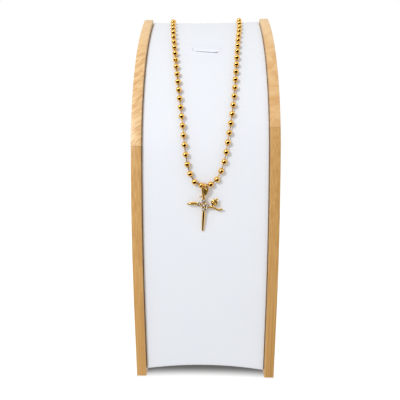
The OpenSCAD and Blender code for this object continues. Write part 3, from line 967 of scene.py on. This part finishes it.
# Stones
# Five small round brilliants of a clear, sharply cut stone, one in each collet. Each rests on
# the cone of its seat and is held by four grains.
stone_radius = 0.725
stone_names = ("stone_top", "stone_left", "stone_centre", "stone_right", "stone_bottom")
clear, cloudy = (1, 1, 1, 1), (0.93, 0.96, 1, 1)

# Rings of corners from the table down to the point: their count, the share of the radius, the
# height over the girdle and the turn in degrees.
stone_cut = ((8, 0.57, 0.28, 22.5), (8, 0.80, 0.15, 0), (16, 1.0, 0.0, 0), (16, 1.0, -0.08, 0),
             (8, 0.45, -0.37, 22.5), (4, 0.03, -0.56, 0))


def clear_stone(name):
    paint = Paint(bpy.data.materials.new(name))
    cloud = paint.noise(paint.place(), 2.0, 1.0)
    return paint.set(Base_Color=paint.mix(cloud, clear, cloudy), Roughness=0.02,
                     Transmission_Weight=1.0, IOR=2.1)


def stone(name, spot, material):
    bm = bmesh.new()
    for count, share, height, turn in stone_cut:
        ring = bmesh.ops.create_circle(bm, segments=count, radius=share * stone_radius)["verts"]
        bmesh.ops.rotate(bm, verts=ring, cent=(0, 0, 0),
                         matrix=Matrix.Rotation(math.radians(turn), 3, "Z"))
        bmesh.ops.translate(bm, verts=ring, vec=(0, 0, height))
    bmesh.ops.convex_hull(bm, input=bm.verts, use_existing_faces=False)
    bmesh.ops.dissolve_limit(bm, angle_limit=math.radians(1), verts=bm.verts, edges=bm.edges)
    bmesh.ops.transform(bm, matrix=Matrix.Translation(at_cross) @ facing(spot), verts=bm.verts)
    finished(bm, name, material, [name], smooth_below=1)


brilliant = clear_stone("clear_brilliant")
for stone_name, stone_spot in zip(stone_names, stone_spots):
    stone(stone_name, stone_spot, brilliant)

# Studio
# A white sheet under the stand, a soft round light in front of it and high on the left, white
# walls all round, and the dark of the room behind the camera, which the polished gold mirrors.
sheet_half = 4000
sheet_grey = (0.12, 0.12, 0.12, 1)
shade_grey = (0.06, 0.06, 0.06, 1)
white = (1, 1, 1, 1)

# The painted shade under the stand: where it fades to the front and to the sides, from the middle
# of the stand, and how much further it reaches beside the panels, where the board comes lower.
shade_front, shade_side = (30.6, 40.4), (39, 40.5)
shade_further, shade_further_at = 1.2, 34

light_towards = Vector((-0.70, -1.0, 0.66)).normalized()
light_aim = Vector((0, 0, 120))
light_distance = 1200
light_size = 260
light_watts = 5.7
light_tint = (0.945, 0.975, 1.0)

# The light of the walls, and what the ceiling and the wall behind the stand lack of it.
wall_light = 0.72
wall_tint = (1, 0.965, 0.915, 1)
ceiling_loss = 0.02
back_loss = 0.10

# What the gold mirrors: walls brighter than the light they give, most of all at its own height,
# and a dark that sets in towards the camera and ends above it. Both ends are bands of the
# view's direction, from 0 to 1.
mirror_gain = 0.9
mirror_fall = 0.7
dark_towards, dark_top = (0.30, 0.44), (0.30, 0.42)


def sheet():
    """White round the stand, with painted shade in grey under it. It neither lights the stand nor
    mirrors in it.
    """
    bm = bmesh.new()
    bmesh.ops.create_grid(bm, x_segments=1, y_segments=1, size=sheet_half * MM)
    made = scene_object(bm, "sheet")
    paint = Paint(bpy.data.materials.new("white_sheet"))
    spot = paint.place()
    across, along = abs(spot.part("X")), abs(spot.part("Y"))
    # The grey under the stand is painted shade. Away from the stand, the sheet glows an even
    # white.
    out = (along - shade_further * (across / shade_further_at) ** 2).between(*shade_front)
    out = out.max(across.between(*shade_side))
    made.data.materials.append(paint.set(
        Base_Color=sheet_grey, Roughness=0.9, Specular_IOR_Level=0.0,
        Emission_Color=paint.mix(out, shade_grey, white), Emission_Strength=1.0))
    made.visible_glossy = made.visible_diffuse = False
    return made


def softbox():
    lamp = bpy.data.lights.new("softbox", "AREA")
    lamp.shape, lamp.size, lamp.energy = "DISK", light_size * MM, light_watts
    lamp.color = light_tint
    made = bpy.data.objects.new("softbox", lamp)
    bpy.context.scene.collection.objects.link(made)
    made.location = (light_aim + light_towards * light_distance) * MM
    made.rotation_euler = light_towards.to_track_quat("Z", "Y").to_euler()


def room():
    """White to the camera. The walls light the stand, and the gold mirrors walls and dark."""
    paint = Paint(bpy.data.worlds.new("studio"), "Background")
    way = paint.node("ShaderNodeTexCoord", {}, {}, "Generated")
    back, up = way.part("Y"), way.part("Z")
    walls = wall_light - ceiling_loss * up.between(0, 0.9) - back_loss * back.between(0, 0.8)
    dark = (back * -1).between(*dark_towards) * (1 - up.between(*dark_top))
    mirror = (1 + mirror_gain * (1 - mirror_fall * abs(up))) * (1 - dark)
    seen = paint.node("ShaderNodeLightPath", {}, {}, "Is Camera Ray")
    mirrored = paint.node("ShaderNodeLightPath", {}, {}, "Is Glossy Ray")
    light = walls * (1 + mirrored * (mirror - 1))
    bpy.context.scene.world = paint.set(Strength=light * (1 - seen) + seen,
                                        Color=paint.mix(seen, wall_tint, white))


sheet()
softbox()
room()

# Camera
# It stands 164 mm in front of the foot and 137 mm up, and looks 11 degrees down. Its place and
# turns follow from the corners of the panels in the photograph.
camera_place = (1.23, -203.2, 137.4)
camera_yaw, camera_pitch, camera_roll = 0.024, math.radians(11), -0.002
camera_lens, camera_sensor = 28.8, 36
camera_near = 5

ahead = Vector((-math.sin(camera_yaw) * math.cos(camera_pitch),
                math.cos(camera_yaw) * math.cos(camera_pitch), -math.sin(camera_pitch)))
aside = ahead.cross(Vector((0, 0, 1))).normalized()
look = Matrix((aside, aside.cross(ahead), -ahead)).transposed()
camera = bpy.data.objects.new("camera", bpy.data.cameras.new("camera"))
camera.data.lens, camera.data.sensor_width = camera_lens, camera_sensor
camera.data.clip_start = camera_near * MM
camera.data.dof.use_dof = False
camera.matrix_world = (Matrix.Translation(Vector(camera_place) * MM)
                       @ (look @ Matrix.Rotation(camera_roll, 3, "Z")).to_4x4())
bpy.context.scene.collection.objects.link(camera)
bpy.context.scene.camera = camera
bpy.context.scene.view_settings.view_transform = "Standard"
